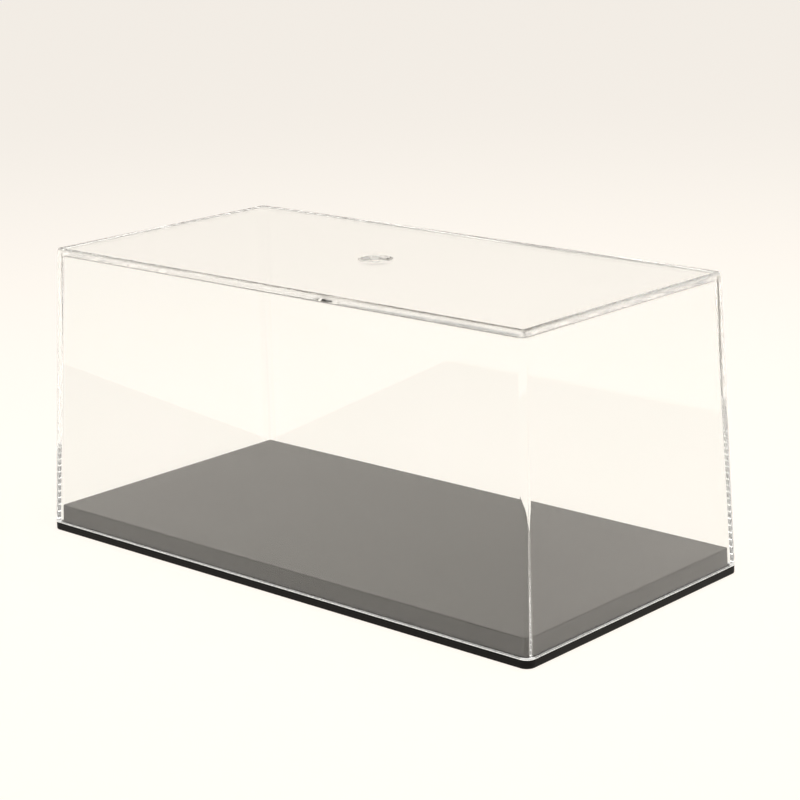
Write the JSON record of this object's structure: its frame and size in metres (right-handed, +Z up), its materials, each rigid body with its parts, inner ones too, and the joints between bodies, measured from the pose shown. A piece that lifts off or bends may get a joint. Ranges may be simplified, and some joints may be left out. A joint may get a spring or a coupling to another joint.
{
  "type": "display case",
  "caption": "Clear drafted box cover that stands on the flange of a black base tray, round a low charcoal display deck, for showing a scale model or keepsake.",
  "frame": {"origin": "middle of the base tray's underside, on the surface that the case stands on", "axes": "+X along the case's length, +Y across its width, +Z up out of the cover's top"},
  "size_m": [0.17, 0.0874, 0.08],
  "materials": {
    "tray_black": "matte",
    "deck_charcoal": "matte",
    "screw_steel": "satin",
    "cover_clear": "polished"
  },
  "bodies": {
    "base": {"base_tray": "tray_black", "display_deck": "deck_charcoal", "deck_screws": "screw_steel"},
    "cover": {"clear_cover": "cover_clear"}
  },
  "joints": [
    {"name": "cover_lift", "type": "slide", "parent": "base", "child": "cover", "axis": [0, 0, 1], "range_m": [0, 0.12]}
  ]
}
